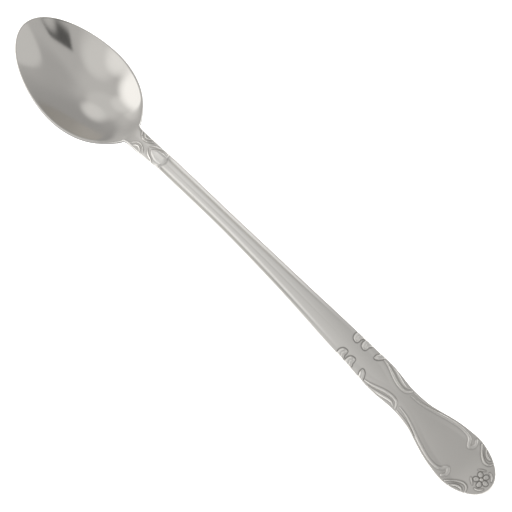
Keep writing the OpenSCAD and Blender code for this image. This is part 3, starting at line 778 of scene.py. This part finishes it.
def spoon_mesh():
    """The whole spoon as one closed mesh, with the shares of its finish and painted light at its points."""
    xy, polys, loop = welded(*plan())
    x, y = xy[:, 0], xy[:, 1]
    high, deep, crest = relief(x, y)
    top = face(x, y) + high
    bottom = under(x, y)
    rings = edge_rings(xy[loop], top[loop], bottom[loop])
    coords = np.vstack([np.column_stack([xy, top]), np.column_stack([xy, bottom]), *rings])

    count, around = len(xy), len(loop)
    belts = [2 * count + around * i + np.arange(around) for i in range(len(rings))]
    belts = [loop, *belts, loop + count]
    faces = polys + [[i + count for i in reversed(p)] for p in polys]
    for upper, lower in zip(belts[:-1], belts[1:]):
        faces += ring_faces(upper, lower)
    mesh = bpy.data.meshes.new("spoon_steel")
    mesh.from_pydata((coords * MM).tolist(), [], [[int(i) for i in f] for f in faces])
    mesh.validate()
    mesh.update()
    mesh.shade_smooth()
    for name, values in finish_shares(coords, deep, crest, x[loop]).items():
        attribute = mesh.attributes.new(name, "FLOAT", "POINT")
        attribute.data.foreach_set("value", values.astype(np.float32))
    return mesh


# Steel. Base colours of the plain polish, then the painted sheen on the stem, the painted highlight on the
# crests, the painted shade in the grooves and at the heel, and the painted shade on the side wall
PLAIN_STEEL = (0.68, 0.658, 0.622)
PAINTED_SHEEN_STEEL = (0.92, 0.9, 0.86)
PAINTED_HIGHLIGHT_STEEL = (0.95, 0.93, 0.89)
PAINTED_SHADE_STEEL = (0.28, 0.27, 0.255)
PAINTED_WALL_SHADE = (0.17, 0.165, 0.16)
# Roughness of the mirror and the satin polish, what a groove adds to it, and the share that a crest leaves
MIRROR_ROUGHNESS, SATIN_ROUGHNESS = 0.12, 0.33
GROOVE_ROUGHNESS, CREST_ROUGHNESS_SHARE = 0.15, 0.6
# A faint haze varies the roughness. Its noise and the polishing lines' are scaled per metre.
HAZE_SCALE, HAZE_DETAIL = 90.0, 4.0
HAZE_NOISE, HAZE_SHARES = (0.3, 0.7), (0.88, 1.15)
LINES_SCALE, LINES_DETAIL = (300.0, 9000.0, 9000.0), 3.0
LINES_STRENGTH, LINES_DEPTH = 0.02, 0.02 * MM


def polished_steel():
    """Bright stainless steel with fine polishing lines and a little haze, painted shade in the relief's
    valleys, at the heel and on the side wall, and a painted sheen and painted highlights.
    """
    mat = bpy.data.materials.new("polished_steel")
    mat.use_nodes = True
    nodes, links = mat.node_tree.nodes, mat.node_tree.links
    bsdf = nodes["Principled BSDF"]
    bsdf.inputs["Metallic"].default_value = 1.0
    coords = nodes.new("ShaderNodeTexCoord")

    def noise(scale, detail, place):
        node = nodes.new("ShaderNodeTexNoise")
        node.inputs["Scale"].default_value = scale
        node.inputs["Detail"].default_value = detail
        links.new(place, node.inputs["Vector"])
        return node.outputs["Fac"]

    def attribute(name):
        node = nodes.new("ShaderNodeAttribute")
        node.attribute_name = name
        return node.outputs["Fac"]

    def remap(value, low, high, to_low, to_high):
        node = nodes.new("ShaderNodeMapRange")
        ends = {"From Min": low, "From Max": high, "To Min": to_low, "To Max": to_high}
        for socket, number in ends.items():
            node.inputs[socket].default_value = number
        links.new(value, node.inputs["Value"])
        return node.outputs["Result"]

    def maths(operation, a, b):
        node = nodes.new("ShaderNodeMath")
        node.operation = operation
        links.new(a, node.inputs[0])
        links.new(b, node.inputs[1])
        return node.outputs["Value"]

    def tinted(share, base, colour):
        node = nodes.new("ShaderNodeMix")
        node.data_type = "RGBA"
        if isinstance(base, tuple):
            node.inputs["A"].default_value = (*base, 1)
        else:
            links.new(base, node.inputs["A"])
        node.inputs["B"].default_value = (*colour, 1)
        links.new(share, node.inputs["Factor"])
        return node.outputs["Result"]

    haze = noise(HAZE_SCALE, HAZE_DETAIL, coords.outputs["Object"])
    polish = remap(attribute("satin"), 0, 1, MIRROR_ROUGHNESS, SATIN_ROUGHNESS)
    worn = remap(attribute("crest"), 0, 1, 1, CREST_ROUGHNESS_SHARE)
    rough = maths("MULTIPLY", maths("MULTIPLY", polish, remap(haze, *HAZE_NOISE, *HAZE_SHARES)), worn)
    rough = maths("ADD", rough, remap(attribute("painted_shade"), 0, 1, 0, GROOVE_ROUGHNESS))
    links.new(rough, bsdf.inputs["Roughness"])

    # Painted light over the plain colour: the stem's painted sheen, the crests' painted highlight, and
    # painted shade in the grooves, at the heel and on the side wall
    colour = tinted(attribute("painted_sheen"), PLAIN_STEEL, PAINTED_SHEEN_STEEL)
    for name, tint in (("crest", PAINTED_HIGHLIGHT_STEEL), ("painted_shade", PAINTED_SHADE_STEEL), ("wall", PAINTED_WALL_SHADE)):
        colour = tinted(attribute(name), colour, tint)
    links.new(colour, bsdf.inputs["Base Color"])

    # The polishing lines run along the spoon
    drawn_out = nodes.new("ShaderNodeMapping")
    drawn_out.inputs["Scale"].default_value = LINES_SCALE
    links.new(coords.outputs["Object"], drawn_out.inputs["Vector"])
    bump = nodes.new("ShaderNodeBump")
    bump.inputs["Strength"].default_value = LINES_STRENGTH
    bump.inputs["Distance"].default_value = LINES_DEPTH
    links.new(noise(1.0, LINES_DETAIL, drawn_out.outputs["Vector"]), bump.inputs["Height"])
    links.new(bump.outputs["Normal"], bsdf.inputs["Normal"])
    return mat


def spoon(material):
    """The spoon, which stands for every node of the frame."""
    mesh = spoon_mesh()
    obj = bpy.data.objects.new("spoon_steel", mesh)
    bpy.context.collection.objects.link(obj)
    mesh.materials.append(material)
    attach(obj, "root")
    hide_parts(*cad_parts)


# The camera, as the photograph sees the spoon. In its picture, it aims a little to the right of the spoon's
# middle and, since that value is negative, below it.
CAMERA_AZIMUTH, CAMERA_ELEVATION = 45.4, 74.0
CAMERA_DISTANCE = 1200 * MM
CAMERA_LENS, CAMERA_SENSOR = 298.1, 36.0
CAMERA_RIGHT, CAMERA_UP = 0.44 * MM, -0.57 * MM
CLIP_START, CLIP_END = 10 * MM, 20000 * MM


def camera():
    """The scene's camera."""
    data = bpy.data.cameras.new("camera")
    data.lens = CAMERA_LENS
    data.sensor_width = CAMERA_SENSOR
    data.clip_start = CLIP_START
    data.clip_end = CLIP_END
    cam = bpy.data.objects.new("camera", data)
    bpy.context.collection.objects.link(cam)
    a, e = math.radians(CAMERA_AZIMUTH), math.radians(CAMERA_ELEVATION)
    back = Vector((math.sin(a) * math.cos(e), -math.cos(a) * math.cos(e), math.sin(e)))
    right = Vector((math.cos(a), math.sin(a), 0))
    up = back.cross(right)
    low, high = cad_box
    target = (low + high) / 2 + right * CAMERA_RIGHT + up * CAMERA_UP
    cam.location = target + back * CAMERA_DISTANCE
    cam.rotation_mode = "QUATERNION"
    cam.rotation_quaternion = (-back).to_track_quat("-Z", "Y")
    bpy.context.scene.camera = cam


# The table top, which glows a little so that it stays white all round the spoon
TABLE_SIZE = 6000 * MM
TABLE_COLOUR, TABLE_ROUGHNESS = (0.92, 0.92, 0.92, 1), 0.7
TABLE_GLOW_COLOUR, TABLE_GLOW = (1, 1, 1, 1), 1.0


def table():
    """A wide, plain white table top."""
    bpy.ops.mesh.primitive_plane_add(size=TABLE_SIZE, location=(0, 0, 0))
    floor = bpy.context.object
    floor.name = "table"
    mat = bpy.data.materials.new("white_table")
    mat.use_nodes = True
    bsdf = mat.node_tree.nodes["Principled BSDF"]
    bsdf.inputs["Base Color"].default_value = TABLE_COLOUR
    bsdf.inputs["Roughness"].default_value = TABLE_ROUGHNESS
    bsdf.inputs["Emission Color"].default_value = TABLE_GLOW_COLOUR
    bsdf.inputs["Emission Strength"].default_value = TABLE_GLOW
    floor.data.materials.append(mat)


# Soft boxes and flags round the spoon, the later ones in front. Each stands in a direction seen from it: a
# bearing from the camera's right hand, counterclockwise, and an angle down from straight overhead. Then come
# its half size and the width of its soft edge, all in degrees, and last its brightness.
SOFT_BOXES = {
    "right_flag": (0, 42, 10, 30, 0.5),
    "ceiling_glow": (180, 30, 10, 30, 0.65),
    "far_corner": (72, 84, 15, 50, 0.42),
    "right_screen": (347, 84, 27, 5, 0.72),
    "near_left_screen": (222, 55, 10, 18, 0.8),
    "side_window": (206, 72, 3, 14, 1.05),
    "overhead_glow": (130, 44, 15, 16, 0.72),
    "overhead_lamp": (98, 52, 5, 17, 0.84),
    "left_screen": (153, 64, 5, 12, 0.85),
    "left_window": (172, 86, 19, 11, 1.35),
}
SURROUNDINGS = 0.58
# The dark camera stand is a flag between two bearings and two angles from overhead, with a bright gap in it
STAND_BEARING, STAND_HALF = 281.0, 19.0
STAND_TOP, STAND_BOTTOM = 43.0, 60.0
STAND_TOP_SKEW, STAND_BOTTOM_SKEW = -26.0, -46.0
STAND_BRIGHTNESS = 0.1
STAND_GAP = (289, 65, 3, 8, 0.6)
# Four planes through the spoon bound it. Each has its normal's bearing and angle from overhead, and the
# distances along that normal, on a sphere of radius 1, between which the stand's edge fades in.
STAND_PLANES = (
    (STAND_BEARING - STAND_HALF + 90, 90, 0.0, 0.05),
    (STAND_BEARING + STAND_HALF - 90, 90, -0.02, 0.05),
    (STAND_BEARING + STAND_TOP_SKEW, STAND_TOP + 90, 0.0, 0.05),
    (STAND_BEARING + STAND_BOTTOM_SKEW, STAND_BOTTOM - 90, 0.0, 0.12),
)


def bearing(degrees, from_top):
    """A direction from its bearing off the camera's right hand and its angle down from overhead."""
    turn = math.radians(CAMERA_AZIMUTH + degrees)
    down = math.radians(from_top)
    return Vector((math.cos(turn) * math.sin(down), math.sin(turn) * math.sin(down), math.cos(down)))


def studio():
    """Soft grey surroundings with the soft boxes, windows and camera stand that the polish mirrors."""
    world = bpy.data.worlds.new("studio")
    bpy.context.scene.world = world
    world.use_nodes = True
    nodes, links = world.node_tree.nodes, world.node_tree.links
    way = nodes.new("ShaderNodeTexCoord").outputs["Generated"]

    def step(value, low, high):
        ramp = nodes.new("ShaderNodeMapRange")
        ramp.interpolation_type = "SMOOTHSTEP"
        ramp.inputs["From Min"].default_value = low
        ramp.inputs["From Max"].default_value = high
        links.new(value, ramp.inputs["Value"])
        return ramp.outputs["Result"]

    def towards(turn, down):
        dot = nodes.new("ShaderNodeVectorMath")
        dot.operation = "DOT_PRODUCT"
        dot.inputs[1].default_value = bearing(turn, down)
        links.new(way, dot.inputs[0])
        return dot.outputs["Value"]

    def times(a, b):
        product = nodes.new("ShaderNodeMath")
        product.operation = "MULTIPLY"
        links.new(a, product.inputs[0])
        links.new(b, product.inputs[1])
        return product.outputs["Value"]

    def blend(name, share, base, brightness):
        over = nodes.new("ShaderNodeMix")
        over.label = name
        over.inputs["B"].default_value = brightness
        links.new(share, over.inputs["Factor"])
        if isinstance(base, float):
            over.inputs["A"].default_value = base
        else:
            links.new(base, over.inputs["A"])
        return over.outputs["Result"]

    def box(name, base, turn, down, half, edge, brightness):
        outside, inside = math.cos(math.radians(half + edge)), math.cos(math.radians(half))
        return blend(name, step(towards(turn, down), outside, inside), base, brightness)

    level = SURROUNDINGS
    for name, place in SOFT_BOXES.items():
        level = box(name, level, *place)
    left, right, top, bottom = (step(towards(turn, down), *fade) for turn, down, *fade in STAND_PLANES)
    stand = times(times(left, right), times(top, bottom))
    level = blend("stand", stand, level, STAND_BRIGHTNESS)
    level = box("stand_gap", level, *STAND_GAP)
    links.new(level, nodes["Background"].inputs["Color"])


bpy.context.scene.view_settings.view_transform = "Standard"
spoon(polished_steel())
table()
studio()
camera()
